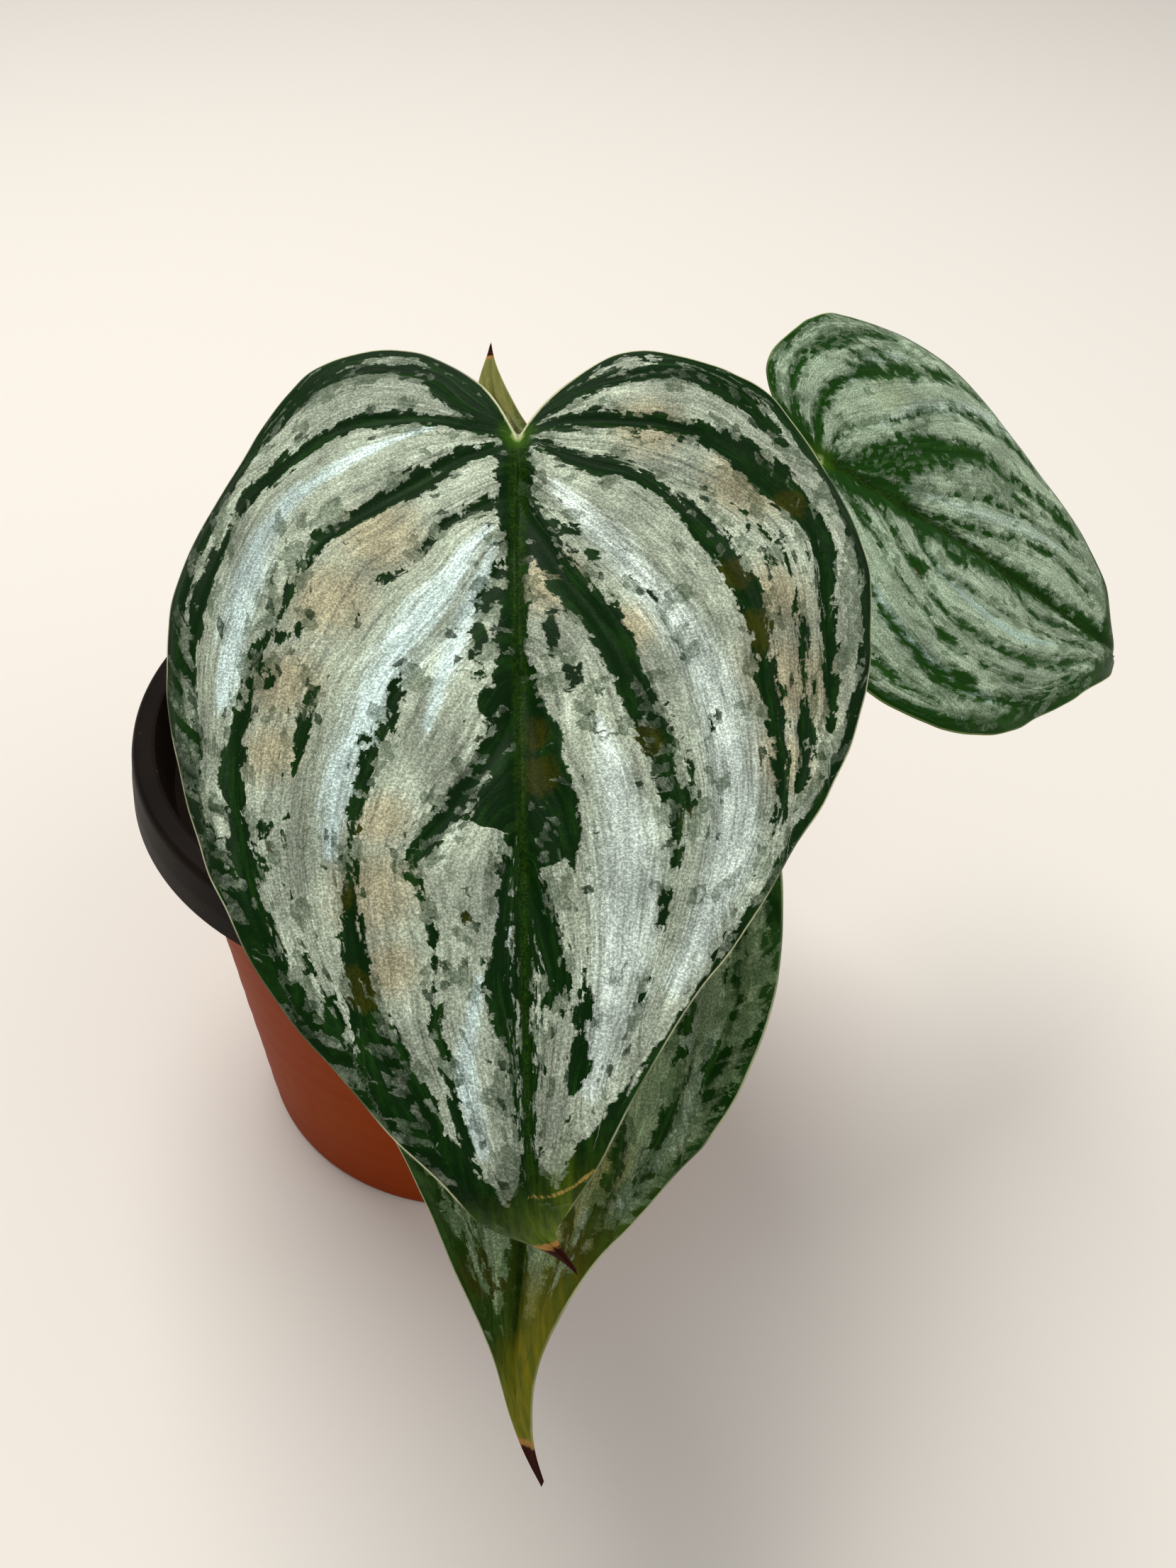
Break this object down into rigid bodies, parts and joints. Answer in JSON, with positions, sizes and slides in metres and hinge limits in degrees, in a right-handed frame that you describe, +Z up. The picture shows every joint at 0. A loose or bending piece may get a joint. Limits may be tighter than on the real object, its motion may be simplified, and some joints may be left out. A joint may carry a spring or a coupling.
{
  "type": "potted silver leaf philodendron",
  "caption": "Young aroid house plant with silver-patterned heart-shaped leaves on long stalks, growing in a round nursery pot with a rolled rim.",
  "frame": {"origin": "middle of the pot's base, on the surface that the pot stands on", "axes": "+Z up along the pot's axis; -Y is the front, where the largest leaf's tip points; +X is to the right seen from the front, towards the side leaf"},
  "size_m": [0.1447, 0.1419, 0.1321],
  "materials": {
    "pot_plastic": "soft-gloss formed plastic, terracotta outside, black inside and on the rim",
    "potting_mix": "coarse moist bark and peat mix with pale grit",
    "stem_green": "smooth satin green with brown nodes",
    "stalk_green": "smooth satin green",
    "leaf_silver": "satin silver panels over dark green veins, fine grain",
    "leaf_green": "matte green with dull silver streaks"
  },
  "bodies": {
    "root": {"pot": "pot_plastic", "soil": "potting_mix", "stem": "stem_green", "petiole_1": "stalk_green", "petiole_2": "stalk_green", "petiole_3": "stalk_green", "petiole_4": "stalk_green", "leaf_1": "leaf_silver", "leaf_2": "leaf_silver", "leaf_3": "leaf_silver", "leaf_4": "leaf_green"}
  },
  "joints": []
}
